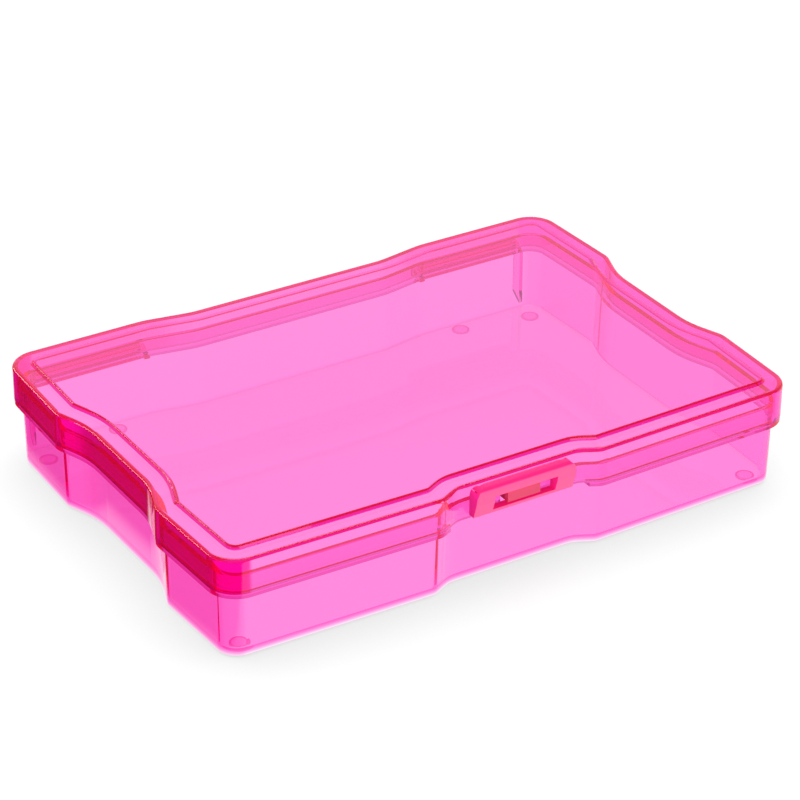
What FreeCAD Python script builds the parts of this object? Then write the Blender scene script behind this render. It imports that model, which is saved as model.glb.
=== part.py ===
"""A shallow hinged case for 4 x 6 inch photo prints: tray, lid and snap latch.

Lengths are in millimetres. X runs across the width, Y from the latch at the
front (-Y) to the hinges at the back (+Y), and Z up from the surface that the
case rests on. The case is shown closed, with the latch over the tray's catch.
"""
import FreeCAD, Part
import math
import os
import Sketcher

Vector = FreeCAD.Vector

SIZES = {
    # plan outline of the lid
    "CaseWidth": 170.0,
    "CaseDepth": 118.8,
    "CaseHeight": 30.0,
    "CornerRadius": 8.0,
    "EndBow": 1.2,
    "FrontBow": 1.3,
    "FrontRecess": 2.8,
    "FrontCrestBesideLatch": 8.8,
    "FrontSlopeRun": 5.5,
    "FrontCrestRadius": 5.5,
    "FrontHollowRadius": 6.0,
    "EndRecess": 3.74,
    "EndCrestPlace": 26.5,
    "EndSlopeRun": 10.3,
    "EndCrestRadius": 6.5,
    "EndHollowRadius": 25.0,
    "BackRecess": 2.4,
    "BackCrestFromSide": 42.0,
    "BackSlopeRun": 13.6,
    "BackCrestRadius": 20.0,
    "BackHollowRadius": 20.0,
    "SmallestRadius": 0.4,
    # lid
    "SkirtHeight": 9.6,
    "SkirtWall": 1.5,
    "LidTopWall": 1.5,
    "LidEdgeRound": 1.0,
    "PanelRise": 0.8,
    "PanelInset": 4.7,
    "PanelSlopeRun": 1.0,
    "PanelShoulder": 0.4,
    "PanelWallShift": 0.6,
    "SeatGap": 0.1,
    # tray
    "FootHeight": 0.5,
    "FootRadius": 2.5,
    "FootFromSide": 9.5,
    "FootFromEdge": 9.4,
    "BackFootFromSide": 30.7,
    "BackFootFromEdge": 6.0,
    "TrayWall": 1.5,
    "FloorWall": 1.5,
    "RimGap": 0.6,
    "WallDraft": 0.4,
    "RimAboveLedge": 4.3,
    "LedgeThickness": 1.2,
    "LedgeSetback": 0.1,
    "LedgeBreakBesideLatch": 5.9,
    "TrayEdgeRound": 0.4,
    "FloorRound": 0.7,
    # back hinges
    "HingeBehindLid": 2.0,
    "HingeBelowLedge": 0.8,
    "EarInnerFromSide": 42.6,
    "EarInnerWidth": 1.6,
    "EarOuterFromSide": 9.1,
    "EarOuterWidth": 1.1,
    "EarRadius": 1.8,
    "EarGap": 0.4,
    "HingePinRadius": 1.0,
    "HingeFit": 0.05,
    "KnuckleRadius": 2.0,
    "KnuckleMouth": 1.6,
    "StrapDrop": 7.2,
    "StrapThickness": 1.5,
    "StrapChamfer": 0.6,
    "LedgeCutDepth": 0.4,
    "LongRibStart": 2.5,
    "LongRibTaper": 2.5,
    "LongRibDepth": 3.1,
    "ShortRibDrop": 0.9,
    # catch on the tray and the cuts in the skirt that clear it
    "CatchWidth": 9.5,
    "CatchReach": 4.5,
    "CatchHeight": 3.3,
    "CatchDrop": 3.6,
    "CatchSideGap": 0.65,
    "CatchTopGap": 0.5,
    "SkirtCutBehindLatch": 4.1,
    "SkirtCutHeight": 1.9,
    # latch
    "LatchWidth": 29.2,
    "LatchBarrelRadius": 1.85,
    "LatchStandoff": 2.0,
    "LatchPivotDrop": 1.9,
    "LatchBackGap": 0.2,
    "LatchBottomDrop": 8.5,
    "LatchBendDrop": 4.6,
    "LatchBendReach": 1.4,
    "LatchBottomReach": 0.2,
    "LatchPinRadius": 0.8,
    "LatchPinLength": 3.8,
    "LatchFit": 0.05,
    "LatchPinEndGap": 0.2,
    "LatchMouth": 1.3,
    "LatchArmFromEnd": 2.6,
    "LatchArmWidth": 1.5,
    "LatchArmHeight": 1.2,
    "LatchArmGap": 0.15,
    "LatchOpening": 50.0,
    "LatchRailWidth": 5.4,
    "WindowBottomDrop": 7.55,
    "WindowTopDrop": 3.2,
    "WindowThroat": 1.6,
    "LatchCornerRound": 3.0,
    # how far cuts run past what they cut, and joined shapes into each other
    "Overrun": 2.0,
    "Overlap": 0.6,
}

doc = FreeCAD.newDocument("PhotoCase")
sheet = doc.addObject("Spreadsheet::Sheet", "Sizes")
for row, (name, value) in enumerate(SIZES.items(), start=1):
    sheet.set("A%d" % row, name)
    sheet.set("B%d" % row, "%.6f" % value)
    sheet.setAlias("B%d" % row, name)
doc.recompute()


def size(name):
    """A driving size, read back from the sheet."""
    return float(sheet.get(name))


# Places that several pieces share, worked out from the driving sizes
HALF_WIDTH = size("CaseWidth") / 2
HALF_DEPTH = size("CaseDepth") / 2
FRONT_FACE = HALF_DEPTH - size("FrontRecess")
TRAY_INSET = size("SkirtWall") + size("RimGap")
BORDER_TOP = size("CaseHeight") - size("PanelRise")
LATCH_HALF = size("LatchWidth") / 2

# Places as expressions on the sheet
HALF_WIDTH_X = "Sizes.CaseWidth / 2"
HALF_DEPTH_X = "Sizes.CaseDepth / 2"
FRONT_FACE_X = "(%s - Sizes.FrontRecess)" % HALF_DEPTH_X
BORDER_TOP_X = "(Sizes.CaseHeight - Sizes.PanelRise)"
SEAM_X = "(%s - Sizes.SkirtHeight)" % BORDER_TOP_X
LEDGE_TOP_X = "(%s - Sizes.SeatGap)" % SEAM_X
RIM_X = "(%s + Sizes.RimAboveLedge)" % LEDGE_TOP_X
HINGE_Y_X = "(%s + Sizes.HingeBehindLid)" % HALF_DEPTH_X
HINGE_Z_X = "(%s - Sizes.HingeBelowLedge)" % LEDGE_TOP_X
EAR_INNER_X = "(%s - Sizes.EarInnerFromSide)" % HALF_WIDTH_X
EAR_OUTER_X = "(%s - Sizes.EarOuterFromSide)" % HALF_WIDTH_X
LATCH_Y_X = "(-%s - Sizes.LatchStandoff)" % FRONT_FACE_X
LATCH_Z_X = "(%s - Sizes.LatchPivotDrop)" % BORDER_TOP_X
LATCH_BOTTOM_X = "(%s - Sizes.LatchBottomDrop)" % BORDER_TOP_X
LATCH_ARM_X = "(Sizes.LatchWidth / 2 - Sizes.LatchArmFromEnd)"
WINDOW_HALF_X = "(Sizes.LatchWidth / 2 - Sizes.LatchRailWidth)"
TRAY_INSET_X = "(Sizes.SkirtWall + Sizes.RimGap)"
STRAP_TOP_X = "(%s - Sizes.StrapDrop)" % BORDER_TOP_X
CATCH_TOP_X = "(%s - Sizes.CatchDrop)" % BORDER_TOP_X
ROUND_STEPS = 4


def outline_corners():
    """Sharp corners of the lid's outline, counter-clockwise, each with its radius."""
    front = LATCH_HALF + size("FrontCrestBesideLatch")
    end = size("EndCrestPlace")
    back = HALF_WIDTH - size("BackCrestFromSide")
    front_in = front - size("FrontSlopeRun")
    end_in = end - size("EndSlopeRun")
    back_in = back - size("BackSlopeRun")
    waist = HALF_WIDTH - size("EndRecess")
    corner_x = HALF_WIDTH - size("EndBow")
    corner = size("CornerRadius")
    right = [
        (front_in, -FRONT_FACE, size("FrontHollowRadius")),
        (front, -HALF_DEPTH, size("FrontCrestRadius")),
        (corner_x, -(HALF_DEPTH - size("FrontBow")), corner),
        (HALF_WIDTH, -end, size("EndCrestRadius")),
        (waist, -end_in, size("EndHollowRadius")),
        (waist, end_in, size("EndHollowRadius")),
        (HALF_WIDTH, end, size("EndCrestRadius")),
        (corner_x, HALF_DEPTH, corner),
        (back, HALF_DEPTH, size("BackCrestRadius")),
        (back_in, HALF_DEPTH - size("BackRecess"), size("BackHollowRadius")),
    ]
    left = [(-x, y, radius) for x, y, radius in reversed(right)]
    return right + left


def inward_line(start, end, inset):
    """A side moved inwards by an inset, as a point and a direction."""
    along = Vector(end[0] - start[0], end[1] - start[1], 0)
    along.normalize()
    inward = Vector(-along.y, along.x, 0)
    return Vector(start[0], start[1], 0) + inward * inset, along


def crossing(first, second):
    """Where two lines in the plane cross."""
    gap = second[0] - first[0]
    turn = first[1].x * second[1].y - first[1].y * second[1].x
    reach = (gap.x * second[1].y - gap.y * second[1].x) / turn
    return first[0] + first[1] * reach


def outline_edges(inset):
    """The outline moved inwards by an inset: tangent lines and arcs in turn."""
    corners = outline_corners()
    count = len(corners)
    sides = [inward_line(corners[i - 1], corners[i], inset) for i in range(count)]
    arcs = []
    for i in range(count):
        before = sides[i]
        after = sides[(i + 1) % count]
        point = crossing(before, after)
        turn = math.atan2(before[1].x * after[1].y - before[1].y * after[1].x,
                          before[1].dot(after[1]))
        bulge = 1 if turn > 0 else -1
        radius = max(corners[i][2] - bulge * inset, size("SmallestRadius"))
        tangent = radius * math.tan(abs(turn) / 2)
        start = point - before[1] * tangent
        end = point + after[1] * tangent
        centre = start + Vector(-before[1].y, before[1].x, 0) * (bulge * radius)
        arcs.append((start, end, centre, radius, bulge))
    edges = []
    for i in range(count):
        edges.append(Part.LineSegment(arcs[i - 1][1], arcs[i][0]))
        start, end, centre, radius, bulge = arcs[i]
        first, last = (start, end) if bulge > 0 else (end, start)
        low = math.atan2(first.y - centre.y, first.x - centre.x)
        high = math.atan2(last.y - centre.y, last.x - centre.x)
        circle = Part.Circle(centre, Vector(0, 0, 1), radius)
        edges.append(Part.ArcOfCircle(circle, low, high))
    return edges


def origin_plane(body, role):
    for feature in body.Origin.OriginFeatures:
        if feature.Role == role:
            return feature
    raise ValueError(role)


def new_sketch(body, name, role, offset="0"):
    """A sketch on one of the body's planes, moved along the plane's normal."""
    sketch = body.newObject("Sketcher::SketchObject", name)
    sketch.AttachmentSupport = [(origin_plane(body, role), "")]
    sketch.MapMode = "FlatFace"
    sketch.setExpression("AttachmentOffset.Base.z", offset)
    doc.recompute()
    return sketch


def outline_sketch(body, name, inset, height):
    """The case outline, moved inwards, drawn at a height."""
    sketch = new_sketch(body, name, "XY_Plane", height)
    sketch.addGeometry(outline_edges(inset), False)
    return sketch


def place(sketch, geometry, point, across, up):
    """Hold one point of a sketch at two places given as expressions."""
    for kind, text in (("DistanceX", across), ("DistanceY", up)):
        value = sketch.evalExpression(text)
        value = float(getattr(value, "Value", value))
        if abs(value) < 1e-9:
            axis = -2 if kind == "DistanceX" else -1
            sketch.addConstraint(Sketcher.Constraint("PointOnObject", geometry, point, axis))
            continue
        index = sketch.addConstraint(Sketcher.Constraint(kind, -1, 1, geometry, point, value))
        sketch.setExpression("Constraints[%d]" % index, text)


def polygon(sketch, points):
    """A closed polygon whose corners are pairs of expressions."""
    places = []
    for across, up in points:
        pair = [sketch.evalExpression(text) for text in (across, up)]
        pair = [float(getattr(value, "Value", value)) for value in pair]
        places.append(Vector(pair[0], pair[1], 0))
    first = sketch.GeometryCount
    count = len(places)
    for i in range(count):
        sketch.addGeometry(Part.LineSegment(places[i], places[(i + 1) % count]), False)
    for i in range(count):
        joint = (first + i, 2, first + (i + 1) % count, 1)
        sketch.addConstraint(Sketcher.Constraint("Coincident", *joint))
    for i, (across, up) in enumerate(points):
        place(sketch, first + i, 1, across, up)


def rectangle(sketch, left, right, low, high):
    polygon(sketch, [(left, low), (right, low), (right, high), (left, high)])


def circle(sketch, across, up, radius):
    """A circle whose centre and radius are expressions."""
    values = [sketch.evalExpression(text) for text in (across, up, radius)]
    values = [float(getattr(value, "Value", value)) for value in values]
    centre = Vector(values[0], values[1], 0)
    index = sketch.addGeometry(Part.Circle(centre, Vector(0, 0, 1), values[2]), False)
    place(sketch, index, 3, across, up)
    bound = sketch.addConstraint(Sketcher.Constraint("Radius", index, values[2]))
    sketch.setExpression("Constraints[%d]" % bound, radius)


def pad(body, sketch, name, length, middle=False):
    feature = body.newObject("PartDesign::Pad", name)
    feature.Profile = sketch
    feature.setExpression("Length", length)
    feature.Midplane = middle
    doc.recompute()
    return feature


def pocket(body, sketch, name, length, middle=False, along_normal=False):
    """A cut of a given length that must take material away."""
    before = body.Shape.Volume
    feature = body.newObject("PartDesign::Pocket", name)
    feature.Profile = sketch
    feature.setExpression("Length", length)
    feature.Midplane = middle
    feature.Reversed = along_normal
    doc.recompute()
    if body.Shape.Volume >= before:
        raise ValueError("%s cuts nothing" % name)
    return feature


def stacked_loft(body, kind, name, levels):
    """A wall that passes through the outline at several insets and heights."""
    sketches = []
    for number, (inset, height) in enumerate(levels, start=1):
        sketches.append(outline_sketch(body, "%sLevel%d" % (name, number), inset, height))
    feature = body.newObject("PartDesign::" + kind, name)
    feature.Profile = sketches[0]
    feature.Sections = sketches[1:]
    feature.Ruled = True
    doc.recompute()
    return feature


def rounded_shoulder(inset, radius_name, top):
    """Levels that round the top edge of a wall, from the slope up to the flat."""
    radius = size(radius_name)
    levels = []
    for step in range(ROUND_STEPS + 1):
        angle = math.pi / 2 * step / ROUND_STEPS
        height = "%s - Sizes.%s * %.9f" % (top, radius_name, 1 - math.sin(angle))
        levels.append((inset + radius * (1 - math.cos(angle)), height))
    return levels


def rounded_foot(inset, radius_name, start):
    """Levels that round the bottom edge of a wall, from the flat up to the wall."""
    radius = size(radius_name)
    levels = []
    for step in range(ROUND_STEPS + 1):
        angle = math.pi / 2 * step / ROUND_STEPS
        height = "%s + Sizes.%s * %.9f" % (start, radius_name, 1 - math.cos(angle))
        levels.append((inset + radius * (1 - math.sin(angle)), height))
    return levels


def mirror(body, name, originals):
    """The same features on the other side of the middle plane."""
    feature = body.newObject("PartDesign::Mirrored", name)
    feature.Originals = originals
    feature.MirrorPlane = (origin_plane(body, "YZ_Plane"), [""])
    body.Tip = feature
    doc.recompute()
    return feature


def fillet(body, name, radius, wanted):
    """Round the edges of the newest feature that a test picks."""
    base = body.Tip
    edges = base.Shape.Edges
    names = ["Edge%d" % (i + 1) for i in range(len(edges)) if wanted(edges[i])]
    if not names:
        raise ValueError("%s finds no edge" % name)
    feature = body.newObject("PartDesign::Fillet", name)
    feature.Base = (base, names)
    feature.setExpression("Radius", radius)
    doc.recompute()
    return feature


def lies_at(edge, height):
    """Whether a whole edge lies at one height."""
    box = edge.BoundBox
    return abs(box.ZMin - height) < 1e-4 and abs(box.ZMax - height) < 1e-4


def new_body(label):
    body = doc.addObject("PartDesign::Body", label)
    body.Label = label
    return body


def build_tray():
    """The base: drafted walls, a ledge that carries the lid, feet, hinge ears and a catch."""
    body = new_body("tray")
    wall = size("TrayWall")
    low_inset = TRAY_INSET + size("WallDraft")

    ledge = outline_sketch(body, "LedgePlan", size("LedgeSetback"),
                           LEDGE_TOP_X + " - Sizes.LedgeThickness")
    pad(body, ledge, "Ledge", "Sizes.LedgeThickness")
    front_break = new_sketch(body, "LedgeBreakPlan", "XY_Plane", LEDGE_TOP_X)
    side = "(Sizes.LatchWidth / 2 + Sizes.LedgeBreakBesideLatch)"
    rectangle(front_break, "-" + side, side,
              "-%s - Sizes.Overrun" % HALF_DEPTH_X, "-%s + Sizes.EndCrestPlace" % HALF_DEPTH_X)
    pocket(body, front_break, "LedgeFrontBreak", "Sizes.LedgeThickness")
    hinge_cut = new_sketch(body, "HingeCutPlan", "XY_Plane", LEDGE_TOP_X)
    rectangle(hinge_cut, EAR_INNER_X + " - Sizes.EarGap",
              EAR_OUTER_X + " + Sizes.EarOuterWidth + Sizes.EarGap",
              "%s - Sizes.LedgeSetback - Sizes.LedgeCutDepth" % HALF_DEPTH_X,
              "%s + Sizes.Overrun" % HALF_DEPTH_X)
    cut = pocket(body, hinge_cut, "LedgeHingeCut", "Sizes.LedgeThickness")
    mirror(body, "LedgeHingeCuts", [cut])

    levels = rounded_foot(low_inset, "TrayEdgeRound", "Sizes.FootHeight")
    levels.append((TRAY_INSET, RIM_X))
    stacked_loft(body, "AdditiveLoft", "Walls", levels)

    add_catch(body)
    add_ears(body)

    floor = "Sizes.FootHeight + Sizes.FloorWall"
    levels = rounded_foot(low_inset + wall, "FloorRound", floor)
    levels.append((TRAY_INSET + wall, RIM_X))
    stacked_loft(body, "SubtractiveLoft", "Well", levels)

    feet = new_sketch(body, "FeetPlan", "XY_Plane", "0")
    across = "(%s - Sizes.FootFromSide)" % HALF_WIDTH_X
    along = "(%s - Sizes.FootFromEdge)" % HALF_DEPTH_X
    middle = "(%s - Sizes.BackFootFromSide)" % HALF_WIDTH_X
    rear = "(%s - Sizes.BackFootFromEdge)" % HALF_DEPTH_X
    for sign in ("", "-"):
        circle(feet, sign + across, "-" + along, "Sizes.FootRadius")
        circle(feet, sign + across, along, "Sizes.FootRadius")
        circle(feet, sign + middle, rear, "Sizes.FootRadius")
    pad(body, feet, "Feet", "Sizes.FootHeight + Sizes.Overlap")
    return body


def add_catch(body):
    """The block on the front wall that stands in the latch's window."""
    catch = new_sketch(body, "CatchSide", "YZ_Plane")
    rectangle(catch, "-%s + %s - Sizes.CatchReach" % (FRONT_FACE_X, TRAY_INSET_X),
              "-%s + %s + Sizes.Overlap" % (FRONT_FACE_X, TRAY_INSET_X),
              CATCH_TOP_X + " - Sizes.CatchHeight", CATCH_TOP_X)
    pad(body, catch, "Catch", "Sizes.CatchWidth", middle=True)


def add_ears(body):
    """Two ribs at each end of the back wall, with a hinge pin between them."""
    wall_in = "%s - %s - Sizes.Overlap" % (HALF_DEPTH_X, TRAY_INSET_X)
    wall_out = "%s - %s" % (HALF_DEPTH_X, TRAY_INSET_X)
    rib_out = wall_out + " + Sizes.LongRibDepth"
    parts = []
    inner = new_sketch(body, "InnerEarSide", "YZ_Plane", EAR_INNER_X)
    polygon(inner, [
        (wall_in, HINGE_Z_X + " - Sizes.ShortRibDrop"),
        (wall_out, HINGE_Z_X + " - Sizes.ShortRibDrop"),
        (HINGE_Y_X, HINGE_Z_X + " - Sizes.EarRadius"),
        (HINGE_Y_X, LEDGE_TOP_X),
        (wall_in, LEDGE_TOP_X),
    ])
    parts.append(pad(body, inner, "InnerEar", "Sizes.EarInnerWidth"))
    inner_head = new_sketch(body, "InnerHeadSide", "YZ_Plane", EAR_INNER_X)
    circle(inner_head, HINGE_Y_X, HINGE_Z_X, "Sizes.EarRadius")
    parts.append(pad(body, inner_head, "InnerHead", "Sizes.EarInnerWidth"))
    outer = new_sketch(body, "OuterEarSide", "YZ_Plane", EAR_OUTER_X)
    polygon(outer, [
        (wall_in, "Sizes.LongRibStart"),
        (wall_out, "Sizes.LongRibStart"),
        (rib_out, "Sizes.LongRibStart + Sizes.LongRibTaper"),
        (rib_out, HINGE_Z_X),
        (HINGE_Y_X, HINGE_Z_X),
        (HINGE_Y_X, LEDGE_TOP_X),
        (wall_in, LEDGE_TOP_X),
    ])
    parts.append(pad(body, outer, "OuterEar", "Sizes.EarOuterWidth"))
    outer_head = new_sketch(body, "OuterHeadSide", "YZ_Plane", EAR_OUTER_X)
    circle(outer_head, HINGE_Y_X, HINGE_Z_X, "Sizes.EarRadius")
    parts.append(pad(body, outer_head, "OuterHead", "Sizes.EarOuterWidth"))
    pin = new_sketch(body, "HingePinSide", "YZ_Plane", EAR_INNER_X)
    circle(pin, HINGE_Y_X, HINGE_Z_X, "Sizes.HingePinRadius")
    length = "%s + Sizes.EarOuterWidth - %s" % (EAR_OUTER_X, EAR_INNER_X)
    parts.append(pad(body, pin, "HingePin", length))
    mirror(body, "LeftHinge", parts)


def build_lid():
    """The cover: a skirt, a raised panel, hinge straps at the back, latch arms in front."""
    body = new_body("lid")
    plan = outline_sketch(body, "LidPlan", 0, SEAM_X)
    pad(body, plan, "Cover", "Sizes.SkirtHeight")
    fillet(body, "CoverEdgeRound", "Sizes.LidEdgeRound", lambda edge: lies_at(edge, BORDER_TOP))

    inset = size("PanelInset")
    run = size("PanelSlopeRun")
    shift = size("PanelWallShift")
    levels = [(inset, BORDER_TOP_X)]
    levels += rounded_shoulder(inset + run - size("PanelShoulder"), "PanelShoulder",
                               BORDER_TOP_X + " + Sizes.PanelRise")
    stacked_loft(body, "AdditiveLoft", "Panel", levels)
    hollow = outline_sketch(body, "HollowPlan", size("SkirtWall"), SEAM_X)
    pocket(body, hollow, "Hollow", "Sizes.SkirtHeight - Sizes.LidTopWall", along_normal=True)
    ceiling = BORDER_TOP_X + " - Sizes.LidTopWall"
    stacked_loft(body, "SubtractiveLoft", "PanelHollow", [
        (inset + shift, ceiling),
        (inset + shift + run, ceiling + " + Sizes.PanelRise"),
    ])
    cut_skirt(body)
    add_straps(body)
    add_latch_arms(body)
    return body


def cut_skirt(body):
    """A shallow cut behind the latch and a slot for the tray's catch."""
    cut = new_sketch(body, "SkirtCutPlan", "XY_Plane", SEAM_X)
    outside = "-%s - Sizes.Overrun" % FRONT_FACE_X
    inside = "-%s + Sizes.SkirtWall + Sizes.RimGap" % FRONT_FACE_X
    side = "(Sizes.LatchWidth / 2 - Sizes.SkirtCutBehindLatch)"
    rectangle(cut, "-" + side, side, outside, inside)
    pocket(body, cut, "SkirtCut", "Sizes.SkirtCutHeight", along_normal=True)
    slot = new_sketch(body, "CatchSlotPlan", "XY_Plane", SEAM_X)
    half = "(Sizes.CatchWidth / 2 + Sizes.CatchSideGap)"
    rectangle(slot, "-" + half, half, outside, inside)
    pocket(body, slot, "CatchSlot", "%s + Sizes.CatchTopGap - %s" % (CATCH_TOP_X, SEAM_X),
           along_normal=True)


def add_straps(body):
    """Straps behind the skirt that end in open knuckles on the hinge pins."""
    start = "(%s + Sizes.EarInnerWidth + Sizes.EarGap)" % EAR_INNER_X
    length = "%s - Sizes.EarGap - %s" % (EAR_OUTER_X, start)
    rear = "%s + Sizes.StrapThickness" % HALF_DEPTH_X
    inside = "%s - Sizes.Overlap" % HALF_DEPTH_X
    strap = new_sketch(body, "StrapSide", "YZ_Plane", start)
    polygon(strap, [
        (inside, SEAM_X),
        (HALF_DEPTH_X, SEAM_X),
        (HALF_DEPTH_X, HINGE_Z_X),
        (rear, HINGE_Z_X),
        (rear, STRAP_TOP_X + " - Sizes.StrapChamfer"),
        (rear + " - Sizes.StrapChamfer", STRAP_TOP_X),
        (inside, STRAP_TOP_X),
    ])
    parts = [pad(body, strap, "Strap", length)]
    knuckle = new_sketch(body, "KnuckleSide", "YZ_Plane", start)
    circle(knuckle, HINGE_Y_X, HINGE_Z_X, "Sizes.KnuckleRadius")
    parts.append(pad(body, knuckle, "Knuckle", length))
    bore = new_sketch(body, "KnuckleBoreSide", "YZ_Plane", start)
    circle(bore, HINGE_Y_X, HINGE_Z_X, "Sizes.HingePinRadius + Sizes.HingeFit")
    parts.append(pocket(body, bore, "KnuckleBore", length, along_normal=True))
    mouth = new_sketch(body, "KnuckleMouthSide", "YZ_Plane", start)
    rectangle(mouth, HINGE_Y_X + " - Sizes.KnuckleMouth / 2",
              HINGE_Y_X + " + Sizes.KnuckleMouth / 2",
              HINGE_Z_X + " - Sizes.KnuckleRadius - Sizes.Overrun", HINGE_Z_X)
    parts.append(pocket(body, mouth, "KnuckleMouthCut", length, along_normal=True))
    mirror(body, "LeftStrap", parts)


def add_latch_arms(body):
    """Two short arms in the front recess with the pins that the latch turns on."""
    arm = new_sketch(body, "LatchArmSide", "YZ_Plane", LATCH_ARM_X)
    rectangle(arm, LATCH_Y_X, "-%s + Sizes.Overlap" % FRONT_FACE_X,
              LATCH_Z_X + " - Sizes.LatchArmHeight / 2",
              LATCH_Z_X + " + Sizes.LatchArmHeight / 2")
    parts = [pad(body, arm, "LatchArm", "Sizes.LatchArmWidth", middle=True)]
    pin = new_sketch(body, "LatchPinSide", "YZ_Plane", LATCH_ARM_X)
    circle(pin, LATCH_Y_X, LATCH_Z_X, "Sizes.LatchPinRadius")
    parts.append(pad(body, pin, "LatchPin", "Sizes.LatchPinLength", middle=True))
    mirror(body, "LeftLatchArm", parts)


def build_latch():
    """The front latch: a leaning plate with a window, hung from a round top."""
    body = new_body("latch")
    back = "-%s - Sizes.LatchBackGap" % FRONT_FACE_X
    barrel = new_sketch(body, "BarrelSide", "YZ_Plane")
    circle(barrel, LATCH_Y_X, LATCH_Z_X, "Sizes.LatchBarrelRadius")
    pad(body, barrel, "Barrel", "Sizes.LatchWidth", middle=True)
    plate = new_sketch(body, "PlateSide", "YZ_Plane")
    polygon(plate, [
        (back, LATCH_BOTTOM_X),
        (back, LATCH_Z_X),
        (LATCH_Y_X + " - Sizes.LatchBarrelRadius", LATCH_Z_X),
        (LATCH_Y_X + " - Sizes.LatchBendReach", BORDER_TOP_X + " - Sizes.LatchBendDrop"),
        (LATCH_Y_X + " - Sizes.LatchBottomReach", LATCH_BOTTOM_X),
    ])
    pad(body, plate, "Plate", "Sizes.LatchWidth", middle=True)

    window = new_sketch(body, "WindowFront", "XZ_Plane", "-(%s)" % LATCH_Y_X)
    rectangle(window, "-" + WINDOW_HALF_X, WINDOW_HALF_X,
              BORDER_TOP_X + " - Sizes.WindowBottomDrop", BORDER_TOP_X + " - Sizes.WindowTopDrop")
    reach = "4 * Sizes.LatchStandoff + Sizes.Overrun"
    pocket(body, window, "Window", reach, middle=True)
    cut_throat(body)
    cut_pin_seats(body)
    cut_corners(body)
    return body


def cut_corners(body):
    """Round the two upper corners of the latch, seen from the front."""
    side = LATCH_HALF
    radius = size("LatchCornerRound")
    spare = size("Overrun")
    top = BORDER_TOP - size("LatchPivotDrop") + size("LatchBarrelRadius")
    corner = new_sketch(body, "CornerFront", "XZ_Plane", "-(%s)" % LATCH_Y_X)
    places = [
        Vector(side - radius, top, 0),
        Vector(side - radius, top + spare, 0),
        Vector(side + spare, top + spare, 0),
        Vector(side + spare, top - radius, 0),
        Vector(side, top - radius, 0),
    ]
    for start, end in zip(places, places[1:]):
        corner.addGeometry(Part.LineSegment(start, end), False)
    ring = Part.Circle(Vector(side - radius, top - radius, 0), Vector(0, 0, 1), radius)
    corner.addGeometry(Part.ArcOfCircle(ring, 0, math.pi / 2), False)
    cut = pocket(body, corner, "CornerCut", "4 * Sizes.LatchStandoff", middle=True)
    mirror(body, "LeftCornerCut", [cut])


def cut_throat(body):
    """Behind the window the round top is thinner, to swing over the catch."""
    throat = new_sketch(body, "ThroatSide", "YZ_Plane")
    bend = "(cos(45 deg) * Sizes.WindowThroat)"
    polygon(throat, [
        (LATCH_Y_X, LATCH_Z_X + " - Sizes.WindowThroat"),
        (LATCH_Y_X, LATCH_Z_X + " - Sizes.WindowThroat - Sizes.Overlap"),
        (LATCH_Y_X + " + Sizes.LatchStandoff + Sizes.Overrun",
         LATCH_Z_X + " - Sizes.WindowThroat - Sizes.Overlap"),
        (LATCH_Y_X + " + Sizes.LatchStandoff + Sizes.Overrun", LATCH_Z_X),
        (LATCH_Y_X + " + Sizes.WindowThroat", LATCH_Z_X),
        (LATCH_Y_X + " + " + bend, LATCH_Z_X + " - " + bend),
    ])
    pocket(body, throat, "Throat", "2 * " + WINDOW_HALF_X, middle=True)


def cut_pin_seats(body):
    """Seats for the lid's pins, open at the back, and slots that the arms sweep."""
    seat = new_sketch(body, "SeatSide", "YZ_Plane", LATCH_ARM_X)
    circle(seat, LATCH_Y_X, LATCH_Z_X, "Sizes.LatchPinRadius + Sizes.LatchFit")
    length = "Sizes.LatchPinLength + 2 * Sizes.LatchPinEndGap"
    parts = [pocket(body, seat, "PinSeat", length, middle=True)]
    mouth = new_sketch(body, "SeatMouthSide", "YZ_Plane", LATCH_ARM_X)
    rectangle(mouth, LATCH_Y_X, LATCH_Y_X + " + Sizes.LatchStandoff",
              LATCH_Z_X + " - Sizes.LatchMouth / 2", LATCH_Z_X + " + Sizes.LatchMouth / 2")
    parts.append(pocket(body, mouth, "SeatMouth", length, middle=True))
    slot = new_sketch(body, "ArmSlotSide", "YZ_Plane", LATCH_ARM_X)
    room = "(Sizes.LatchArmHeight / 2 + Sizes.LatchArmGap)"
    far = "(Sizes.LatchStandoff + Sizes.Overlap)"
    turn = "(Sizes.LatchOpening * 1 deg)"
    polygon(slot, [
        (LATCH_Y_X, "%s - %s" % (LATCH_Z_X, room)),
        ("%s + %s" % (LATCH_Y_X, far), "%s - %s" % (LATCH_Z_X, room)),
        ("%s + %s" % (LATCH_Y_X, far), "%s + %s" % (LATCH_Z_X, far)),
        ("%s + %s * cos%s - %s * sin%s" % (LATCH_Y_X, far, turn, room, turn),
         "%s + %s * sin%s + %s * cos%s" % (LATCH_Z_X, far, turn, room, turn)),
        ("%s - %s * sin%s" % (LATCH_Y_X, room, turn),
         "%s + %s * cos%s" % (LATCH_Z_X, room, turn)),
    ])
    width = "Sizes.LatchArmWidth + 2 * Sizes.LatchArmGap"
    parts.append(pocket(body, slot, "ArmSlot", width, middle=True))
    mirror(body, "LeftSeat", parts)


# The origin lies under the middle of the whole case, hinges and latch included
BACK_REACH = HALF_DEPTH + size("HingeBehindLid") + size("KnuckleRadius")
FRONT_REACH = FRONT_FACE + size("LatchStandoff") + size("LatchBarrelRadius")
MIDDLE = Vector(0, (FRONT_REACH - BACK_REACH) / 2, 0)

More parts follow.
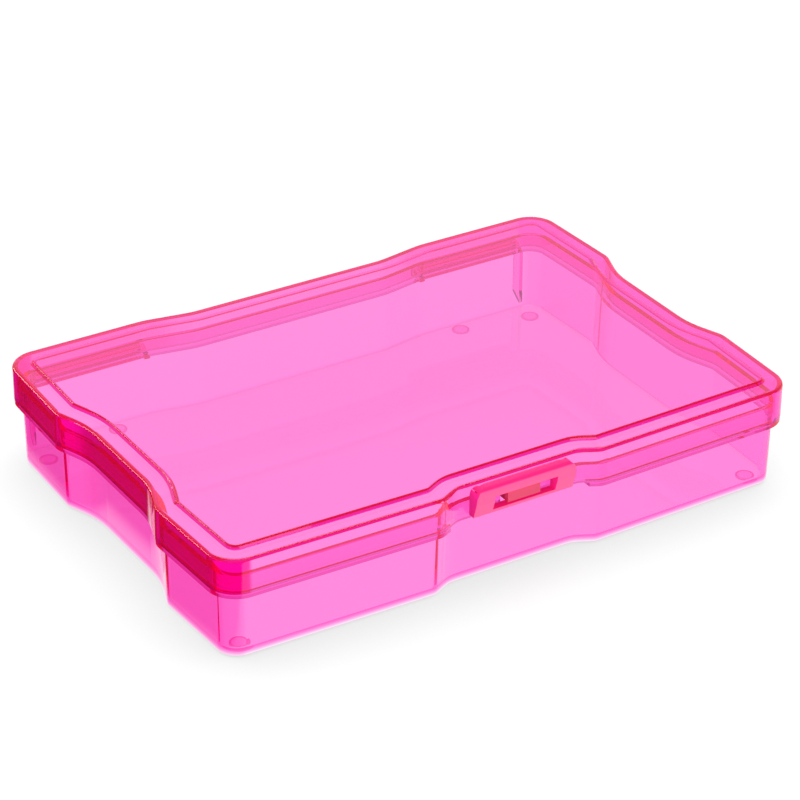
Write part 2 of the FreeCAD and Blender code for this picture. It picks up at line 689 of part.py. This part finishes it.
pieces = [build_tray(), build_lid(), build_latch()]
for piece in pieces:
    piece.Placement = FreeCAD.Placement(MIDDLE, FreeCAD.Rotation())
doc.recompute()
for item in doc.Objects:
    if "Invalid" in item.State or "Error" in item.State:
        raise ValueError("%s is %s" % (item.Label, item.State))
os.makedirs("parts", exist_ok=True)
for piece in pieces:
    shape = piece.Shape
    if not shape.isValid() or len(shape.Solids) != 1:
        raise ValueError("%s is not one valid solid" % piece.Label)
    shape.exportStep("parts/%s.step" % piece.Label)
    print(piece.Label, round(shape.Volume, 1), shape.BoundBox)
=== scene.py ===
"""Looks, light and camera for the translucent photo keeper case."""
import math

import bpy
from mathutils import Matrix, Vector

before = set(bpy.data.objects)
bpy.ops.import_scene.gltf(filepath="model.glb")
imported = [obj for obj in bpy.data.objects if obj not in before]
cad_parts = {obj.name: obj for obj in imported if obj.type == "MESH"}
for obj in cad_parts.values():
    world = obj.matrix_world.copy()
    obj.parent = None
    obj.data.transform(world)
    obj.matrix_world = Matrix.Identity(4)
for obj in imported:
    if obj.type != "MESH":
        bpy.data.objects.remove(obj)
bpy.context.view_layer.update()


WHITE = (1.0, 1.0, 1.0)
PLASTIC_IOR = 1.49

# A path of light that has bent this often inside the walls ends in a painted glow of this
# colour, which stands in for the light it would have found
LAST_DEPTH = 8.5
TRAPPED_PAINTED_GLOW = (0.84, 0.0, 0.76)

# The catch in the latch's window is a solid block, which looks dense and milky
CATCH_LOW = (-0.0049, -0.0612, 0.0220)
CATCH_HIGH = (0.0049, -0.0562, 0.0258)
CATCH_COLOUR = (0.90, 0.055, 0.16)
CATCH_DENSE = 0.9

# The feet stand a little below the floor; their ends are painted as light discs inside a dark
# ring of painted shade
FOOT_SIDE = 0.0004
FEET = [(side * x, y) for side in (-1, 1)
        for x, y in ((0.0755, -0.051475), (0.0755, 0.048525), (0.0543, 0.051925))]
FOOT_RING = (0.0017, 0.0021)
FOOT_DISC_PAINTED_SHADE = (1.0, 0.55, 0.84)
FOOT_RING_PAINTED_SHADE = (0.80, 0.03, 0.34)

# The step around the lid's panel lies inside these, above this height, and its surface is
# neither steep nor flat; the step gets a deep painted shade
STEP_REACH = {"X": 0.0815, "Y": 0.0560}
STEP_LOW = 0.0272
STEP_LEVEL = (0.30, 0.45)
STEP_SLOPE = (0.03, 0.10)
STEP_PAINTED_SHADE = (0.88, 0.04, 0.48)

# Where a surface counts as an upright wall, and where as square to the case's length
UPRIGHT = (0.25, 0.60)
SQUARE_END = (0.92, 0.99)

# The tray's underside and the painted glow that trapped rays find there, standing in for the
# table's light
UNDERSIDE = 0.0007
TABLE_PAINTED_GLOW = (1.05, 1.4, 1.12)


def new_material(name):
    """An empty node material; returns it with its tree and output node."""
    material = bpy.data.materials.new(name)
    material.use_nodes = True
    tree = material.node_tree
    tree.nodes.clear()
    return material, tree, tree.nodes.new("ShaderNodeOutputMaterial")


def math_node(tree, operation, first, second=0.0):
    """A Math node on sockets or numbers; returns its output."""
    node = tree.nodes.new("ShaderNodeMath")
    node.operation = operation
    for index, value in enumerate((first, second)):
        if isinstance(value, (int, float)):
            node.inputs[index].default_value = value
        else:
            tree.links.new(value, node.inputs[index])
    return node.outputs[0]


def noise(tree, place, scale, detail):
    """Noise in the object's own coordinates; returns its strength."""
    node = tree.nodes.new("ShaderNodeTexNoise")
    node.inputs["Scale"].default_value = scale
    node.inputs["Detail"].default_value = detail
    tree.links.new(place, node.inputs["Vector"])
    return node.outputs["Fac"]


def blend_colours(tree, amount, first, second):
    """A colour between two colours or sockets, by an amount socket."""
    node = tree.nodes.new("ShaderNodeMix")
    node.data_type = "RGBA"
    tree.links.new(amount, node.inputs["Factor"])
    for name, value in (("A", first), ("B", second)):
        if isinstance(value, tuple):
            node.inputs[name].default_value = (*value, 1)
        else:
            tree.links.new(value, node.inputs[name])
    return node.outputs["Result"]


def spread(tree, amount, low, high):
    """An amount from 0 to 1 turned into a value from low to high."""
    node = tree.nodes.new("ShaderNodeMapRange")
    node.inputs["To Min"].default_value = low
    node.inputs["To Max"].default_value = high
    tree.links.new(amount, node.inputs["Value"])
    return node.outputs["Result"]


def ramp(tree, amount, low, high, start=0.0, end=1.0):
    """A smooth step from start, at low, to end, at high."""
    node = tree.nodes.new("ShaderNodeMapRange")
    node.interpolation_type = "SMOOTHSTEP"
    node.inputs["From Min"].default_value = low
    node.inputs["From Max"].default_value = high
    node.inputs["To Min"].default_value = start
    node.inputs["To Max"].default_value = end
    tree.links.new(amount, node.inputs["Value"])
    return node.outputs["Result"]


def axes_of(tree, vector):
    """The three parts of a vector socket."""
    node = tree.nodes.new("ShaderNodeSeparateXYZ")
    tree.links.new(vector, node.inputs[0])
    return node.outputs


def normal_axes(tree):
    """The three parts of the surface's true normal."""
    return axes_of(tree, tree.nodes.new("ShaderNodeNewGeometry").outputs["True Normal"])


def product(tree, *amounts):
    """The product of several sockets."""
    result = amounts[0]
    for amount in amounts[1:]:
        result = math_node(tree, "MULTIPLY", result, amount)
    return result


def white_light(tree, kind, strength):
    """A white Emission or Background of a strength given as a number or socket."""
    node = tree.nodes.new(kind)
    node.inputs["Color"].default_value = (*WHITE, 1)
    if isinstance(strength, float):
        node.inputs["Strength"].default_value = strength
    else:
        tree.links.new(strength, node.inputs["Strength"])
    return node.outputs[0]


def mix_shaders(tree, amount, first, second):
    """The first shader, giving way to the second by an amount socket."""
    node = tree.nodes.new("ShaderNodeMixShader")
    tree.links.new(amount, node.inputs["Fac"])
    tree.links.new(first, node.inputs[1])
    tree.links.new(second, node.inputs[2])
    return node.outputs[0]


def glow_over(tree, surface, amount, colour):
    """A surface that gives way to a plain glow, by an amount socket."""
    glow = tree.nodes.new("ShaderNodeEmission")
    glow.inputs["Color"].default_value = (*colour, 1)
    return mix_shaders(tree, amount, surface, glow.outputs[0])


def along(tree, vector, way):
    """How far a vector socket reaches along a fixed way."""
    node = tree.nodes.new("ShaderNodeVectorMath")
    node.operation = "DOT_PRODUCT"
    node.inputs[1].default_value = way
    tree.links.new(vector, node.inputs[0])
    return node.outputs["Value"]


def bump(tree, shader, height, strength, distance):
    """Raise a shader's surface by a height socket."""
    node = tree.nodes.new("ShaderNodeBump")
    node.inputs["Strength"].default_value = strength
    node.inputs["Distance"].default_value = distance
    tree.links.new(height, node.inputs["Height"])
    tree.links.new(node.outputs["Normal"], shader.inputs["Normal"])


def inside_box(tree, place, low, high):
    """1 inside a box of the object's own coordinates, 0 outside."""
    tests = []
    for part, least, most in zip(axes_of(tree, place), low, high):
        tests.append(math_node(tree, "GREATER_THAN", part, least))
        tests.append(math_node(tree, "LESS_THAN", part, most))
    return product(tree, *tests)


def facing(tree, axis, sign, low, high):
    """1 on faces that look along one way of an axis, 0 on the others."""
    return ramp(tree, math_node(tree, "MULTIPLY", normal_axes(tree)[axis], sign), low, high)


def on_walls(tree, place, axis, sign, start, full):
    """1 on the upright walls at one side of the case, 0 elsewhere."""
    outward = math_node(tree, "MULTIPLY", axes_of(tree, place)[axis], sign)
    level = math_node(tree, "ABSOLUTE", normal_axes(tree)["Z"])
    upright = ramp(tree, math_node(tree, "SUBTRACT", 1.0, level), *UPRIGHT)
    return product(tree, ramp(tree, outward, start, full), upright)


def flat_end(tree):
    """1 on walls square to the length of the case, 0 where they curve away."""
    return ramp(tree, math_node(tree, "ABSOLUTE", normal_axes(tree)["X"]), *SQUARE_END)


def on_panel_step(tree, place):
    """1 on the sloping step around the lid's raised panel, 0 elsewhere."""
    level = math_node(tree, "ABSOLUTE", normal_axes(tree)["Z"])
    slope = math_node(tree, "SUBTRACT", 1.0, level)
    parts = axes_of(tree, place)
    tests = [ramp(tree, level, *STEP_LEVEL), ramp(tree, slope, *STEP_SLOPE)]
    for axis, reach in STEP_REACH.items():
        off = math_node(tree, "ABSOLUTE", parts[axis])
        tests.append(math_node(tree, "LESS_THAN", off, reach))
    tests.append(math_node(tree, "GREATER_THAN", parts["Z"], STEP_LOW))
    return product(tree, *tests)


def light_from_table(tree, place):
    """1 where light trapped in the floor meets its underside, where a painted glow stands for
    the table's light.
    """
    inner = tree.nodes.new("ShaderNodeNewGeometry").outputs["Backfacing"]
    low = math_node(tree, "LESS_THAN", axes_of(tree, place)["Z"], UNDERSIDE)
    fresnel = tree.nodes.new("ShaderNodeFresnel")
    fresnel.inputs["IOR"].default_value = PLASTIC_IOR
    return product(tree, inner, low, fresnel.outputs[0])


def foot_painted_shade(tree, place):
    """The painted shade of the feet: a light disc inside a deep painted ring."""
    parts = axes_of(tree, place)
    nearest = None
    for x, y in FEET:
        east = math_node(tree, "SUBTRACT", parts["X"], x)
        north = math_node(tree, "SUBTRACT", parts["Y"], y)
        square = math_node(tree, "ADD", product(tree, east, east), product(tree, north, north))
        nearest = square if nearest is None else math_node(tree, "MINIMUM", nearest, square)
    away = math_node(tree, "SQRT", nearest)
    return blend_colours(tree, ramp(tree, away, *FOOT_RING), FOOT_DISC_PAINTED_SHADE, FOOT_RING_PAINTED_SHADE)


def translucent_plastic(name, walls, is_tray=False):
    """Moulded see-through plastic: tinted in its depth, with faint flow marks on top, painted
    shade on its side walls and on the panel's step or the feet, and painted glows for trapped
    light.
    """
    material, tree, out = new_material(name)
    shader = tree.nodes.new("ShaderNodeBsdfPrincipled")
    shader.inputs["IOR"].default_value = PLASTIC_IOR
    shader.inputs["Transmission Weight"].default_value = 1.0
    place = tree.nodes.new("ShaderNodeTexCoord").outputs["Object"]
    flow = noise(tree, place, *PINK_FLOW)
    colour = blend_colours(tree, flow, *PINK_TINTS)
    # Each side of the case gets painted shade on its upright walls
    for side, side_shade, flat_side_shade in walls:
        side_shade = blend_colours(tree, flat_end(tree), side_shade, flat_side_shade)
        colour = blend_colours(tree, on_walls(tree, place, *side), colour, side_shade)
    if is_tray:
        # The ends of the feet take a painted disc and ring of shade
        foot = math_node(tree, "LESS_THAN", axes_of(tree, place)["Z"], FOOT_SIDE)
        colour = blend_colours(tree, foot, colour, foot_painted_shade(tree, place))
        catch = inside_box(tree, place, CATCH_LOW, CATCH_HIGH)
        colour = blend_colours(tree, catch, colour, CATCH_COLOUR)
        dense = math_node(tree, "MULTIPLY", catch, CATCH_DENSE)
        clear = math_node(tree, "SUBTRACT", 1.0, dense)
        tree.links.new(clear, shader.inputs["Transmission Weight"])
    else:
        # The step around the lid's panel gets painted shade
        colour = blend_colours(tree, on_panel_step(tree, place), colour, STEP_PAINTED_SHADE)
    tree.links.new(colour, shader.inputs["Base Color"])
    roughness = spread(tree, noise(tree, place, *PINK_GRAIN), *PINK_ROUGHNESS)
    tree.links.new(roughness, shader.inputs["Roughness"])
    bump(tree, shader, flow, *PINK_BUMP)
    surface = shader.outputs["BSDF"]
    # Trapped light at the underside takes a painted glow
    if is_tray:
        surface = glow_over(tree, surface, light_from_table(tree, place), TABLE_PAINTED_GLOW)
    # Paths that have bent too often end in a painted glow instead of the surface
    bends = tree.nodes.new("ShaderNodeLightPath").outputs["Ray Depth"]
    spent = math_node(tree, "GREATER_THAN", bends, LAST_DEPTH)
    tree.links.new(glow_over(tree, surface, spent, TRAPPED_PAINTED_GLOW), out.inputs["Surface"])
    depth = tree.nodes.new("ShaderNodeVolumeAbsorption")
    depth.inputs["Color"].default_value = (*PINK_DEPTH, 1)
    depth.inputs["Density"].default_value = PINK_DENSITY
    tree.links.new(depth.outputs["Volume"], out.inputs["Volume"])
    return material


def milky_plastic(name):
    """Denser moulded plastic that lets little light through, with a satin surface, painted
    shade on its sides and top, and a painted glow.
    """
    material, tree, out = new_material(name)
    shader = tree.nodes.new("ShaderNodeBsdfPrincipled")
    shader.inputs["IOR"].default_value = PLASTIC_IOR
    shader.inputs["Specular IOR Level"].default_value = CORAL_GLOSS
    shader.inputs["Transmission Weight"].default_value = CORAL_CLEAR
    # A painted glow, standing in for the light that the plastic scatters inside
    shader.inputs["Emission Color"].default_value = (*CORAL_PAINTED_GLOW, 1)
    shader.inputs["Emission Strength"].default_value = CORAL_PAINTED_GLOW_STRENGTH
    place = tree.nodes.new("ShaderNodeTexCoord").outputs["Object"]
    colour = blend_colours(tree, noise(tree, place, *CORAL_FLOW), *CORAL_TINTS)
    # Faces that turn away from the front or upward get painted shade
    front = facing(tree, "Y", -1.0, *CORAL_FRONT)
    colour = blend_colours(tree, front, CORAL_SIDE_PAINTED_SHADE, colour)
    top = facing(tree, "Z", 1.0, *CORAL_TOP)
    colour = blend_colours(tree, top, colour, CORAL_TOP_PAINTED_SHADE)
    tree.links.new(colour, shader.inputs["Base Color"])
    grain = noise(tree, place, *CORAL_GRAIN)
    tree.links.new(spread(tree, grain, *CORAL_ROUGHNESS), shader.inputs["Roughness"])
    bump(tree, shader, grain, *CORAL_BUMP)
    tree.links.new(shader.outputs["BSDF"], out.inputs["Surface"])
    return material


def dress(name, material):
    """Put one material on every slot of a CAD node."""
    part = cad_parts[name]
    for slot in part.material_slots:
        slot.material = material
    if not part.material_slots:
        part.data.materials.append(material)


# The clear plastic of tray and lid. Flow and grain are the scale and detail of a noise, and
# a bump is its strength and distance
PINK_TINTS = ((1.0, 0.97, 0.99), (1.0, 0.99, 1.0))
PINK_FLOW = (28.0, 3.0)
PINK_GRAIN = (420.0, 4.0)
PINK_ROUGHNESS = (0.01, 0.03)
PINK_BUMP = (0.06, 0.0002)
PINK_DEPTH = (0.998, 0.10, 0.775)
PINK_DENSITY = 480.0

# The dense plastic of the latch; front and top say where its faces turn that way, and its
# sides and top get painted shade
CORAL_TINTS = ((1.0, 0.110, 0.29), (1.0, 0.130, 0.32))
CORAL_SIDE_PAINTED_SHADE = (1.0, 0.02, 0.30)
CORAL_TOP_PAINTED_SHADE = (0.95, 0.004, 0.15)
CORAL_FRONT = (0.78, 0.92)
CORAL_TOP = (0.45, 0.65)
CORAL_GLOSS = 0.25
CORAL_CLEAR = 0.12
CORAL_PAINTED_GLOW = (1.0, 0.015, 0.30)
CORAL_PAINTED_GLOW_STRENGTH = 0.22
CORAL_FLOW = (160.0, 3.0)
CORAL_GRAIN = (1400.0, 4.0)
CORAL_ROUGHNESS = (0.30, 0.40)
CORAL_BUMP = (0.10, 0.0001)

# Painted shade for each side of the case, darker or lighter by how light falls there. Each
# side: its axis and way, where its painted shade starts and is full, and the painted shades of
# its curved and its square walls
TRAY_WALL_PAINTED_SHADES = [
    (("X", -1.0, 0.0760, 0.0785), (1.0, 0.60, 0.84), (1.0, 0.48, 0.78)),
    (("X", 1.0, 0.0760, 0.0785), (1.0, 0.70, 0.90), (1.0, 0.70, 0.90)),
]
LID_WALL_PAINTED_SHADES = [
    (("Y", 1.0, 0.0545, 0.0560), (1.0, 0.44, 0.74), (1.0, 0.44, 0.74)),
    (("X", -1.0, 0.0757, 0.0770), (1.0, 0.01, 0.50), (0.68, 0.01, 0.27)),
    (("X", 1.0, 0.0757, 0.0770), (0.98, 0.24, 0.74), (0.98, 0.30, 0.78)),
]

dress("tray", translucent_plastic("pink_tray_plastic", TRAY_WALL_PAINTED_SHADES, is_tray=True))
dress("lid", translucent_plastic("pink_lid_plastic", LID_WALL_PAINTED_SHADES))
dress("latch", milky_plastic("coral_plastic"))

# The measured view, in the CAD frame: origin under the middle of the overall box
AZIMUTH = math.radians(-32.107)
ELEVATION = math.radians(29.581)
ROLL = math.radians(0.56)
DISTANCE = 0.8325
FOCAL_PX = 3202.3
PICTURE_PX = 800.0
SENSOR_MM = 36.0
CLIP_NEAR = 0.05
CLIP_FAR = 20.0
SIDE_SHIFT = -0.000728
RISE_SHIFT = -0.004661
AIM = Vector((0.0, -0.001475, 0.0156))

forward = Vector((
    -math.sin(AZIMUTH) * math.cos(ELEVATION),
    math.cos(AZIMUTH) * math.cos(ELEVATION),
    -math.sin(ELEVATION),
))
right = forward.cross(Vector((0, 0, 1))).normalized()
up = right.cross(forward)
rolled_right = right * math.cos(ROLL) + up * math.sin(ROLL)
rolled_up = up * math.cos(ROLL) - right * math.sin(ROLL)
eye = AIM - forward * DISTANCE - rolled_right * SIDE_SHIFT - rolled_up * RISE_SHIFT
lens = bpy.data.cameras.new("photo_view")
lens.sensor_width = SENSOR_MM
lens.lens = SENSOR_MM * FOCAL_PX / PICTURE_PX
lens.clip_start = CLIP_NEAR
lens.clip_end = CLIP_FAR
camera = bpy.data.objects.new("photo_view", lens)
bpy.context.scene.collection.objects.link(camera)
turn = Matrix((rolled_right, rolled_up, -forward)).transposed().to_4x4()
camera.matrix_world = Matrix.Translation(eye) @ turn
bpy.context.scene.camera = camera

# The table: half its side, its drop below the feet, its colours and the glows that stand
# for its white
FLOOR_HALF = 3.0
FLOOR_DROP = 0.0001
FLOOR_WHITE = (0.90, 0.90, 0.90)
FLOOR_SEEN = (0.34, 0.34, 0.34)
FLOOR_SEEN_GLOW = 0.68
FLOOR_THROUGH = 1.12
# Mirrored in the walls, the table is bright, but dim beyond the case's left end
FLOOR_EDGE = (-0.0865, -0.0815)
FLOOR_MIRRORED = (0.02, 1.0)

corners = [(-1, -1), (1, -1), (1, 1), (-1, 1)]
floor_mesh = bpy.data.meshes.new("floor")
floor_mesh.from_pydata([(x * FLOOR_HALF, y * FLOOR_HALF, 0) for x, y in corners],
                       [], [(0, 1, 2, 3)])
floor = bpy.data.objects.new("floor", floor_mesh)
bpy.context.scene.collection.objects.link(floor)
floor.location.z = -FLOOR_DROP
floor_look, tree, out = new_material("floor_white")
path = tree.nodes.new("ShaderNodeLightPath").outputs
# Seen straight, part of the table's white is a glow, which keeps the shadow light
seen = path["Is Camera Ray"]
paper = tree.nodes.new("ShaderNodeBsdfDiffuse")
tree.links.new(blend_colours(tree, seen, FLOOR_WHITE, FLOOR_SEEN), paper.inputs["Color"])
lift = math_node(tree, "MULTIPLY", seen, FLOOR_SEEN_GLOW)
both = tree.nodes.new("ShaderNodeAddShader")
tree.links.new(paper.outputs[0], both.inputs[0])
tree.links.new(white_light(tree, "ShaderNodeEmission", lift), both.inputs[1])
spot = axes_of(tree, tree.nodes.new("ShaderNodeNewGeometry").outputs["Position"])
side = ramp(tree, spot["X"], *FLOOR_EDGE, *FLOOR_MIRRORED)
mirrored = white_light(tree, "ShaderNodeEmission", side)
through = white_light(tree, "ShaderNodeEmission", FLOOR_THROUGH)
plain = mix_shaders(tree, path["Is Glossy Ray"], both.outputs[0], mirrored)
look = mix_shaders(tree, path["Is Transmission Ray"], plain, through)
tree.links.new(look, out.inputs["Surface"])
floor_mesh.materials.append(floor_look)

# The room: a white wall behind, dim elsewhere, as bent and mirrored light sees it
BRIGHT_WAY = Vector((0.46, 0.74, 0.49)).normalized()
ROOM_EDGE = (0.45, 0.90)
ROOM_LIGHT = (0.28, 0.90)
BACKDROP_LIGHT = 1.0

world = bpy.data.worlds.new("studio")
bpy.context.scene.world = world
world.use_nodes = True
tree = world.node_tree
tree.nodes.clear()
out = tree.nodes.new("ShaderNodeOutputWorld")
way = tree.nodes.new("ShaderNodeTexCoord").outputs["Generated"]
fade = ramp(tree, along(tree, way, BRIGHT_WAY), *ROOM_EDGE, *ROOM_LIGHT)
room = white_light(tree, "ShaderNodeBackground", fade)
backdrop = white_light(tree, "ShaderNodeBackground", BACKDROP_LIGHT)
path = tree.nodes.new("ShaderNodeLightPath").outputs
straight = math_node(tree, "MAXIMUM", path["Is Camera Ray"], path["Is Diffuse Ray"])
tree.links.new(mix_shaders(tree, straight, room, backdrop), out.inputs["Surface"])
world.cycles.sampling_method = "NONE"


def soft_lamp(name, where, aim, size, power, mirrored_only=False):
    """A rectangular area lamp; one that is mirrored only lights no surface itself."""
    data = bpy.data.lights.new(name, "AREA")
    data.shape = "RECTANGLE"
    data.size, data.size_y = size
    data.energy = power
    lamp = bpy.data.objects.new(name, data)
    bpy.context.scene.collection.objects.link(lamp)
    lamp.location = where
    lamp.rotation_euler = (Vector(aim) - Vector(where)).to_track_quat("-Z", "Y").to_euler()
    lamp.visible_diffuse = not mirrored_only
    lamp.visible_transmission = not mirrored_only


soft_lamp("top_softbox", (0.1, 0.15, 0.9), (0, 0, 0), (0.9, 0.7), 3.0)
soft_lamp("edge_softbox", (-0.78, 0.82, 0.16), (0, 0, 0.02), (1.10, 0.30), 4.0,
          mirrored_only=True)

# Light bends many times in nested clear walls
MOST_BENDS = 32
scene = bpy.context.scene
scene.view_settings.view_transform = "Standard"
scene.cycles.max_bounces = MOST_BENDS
scene.cycles.transmission_bounces = MOST_BENDS
scene.cycles.glossy_bounces = MOST_BENDS
scene.cycles.caustics_refractive = False
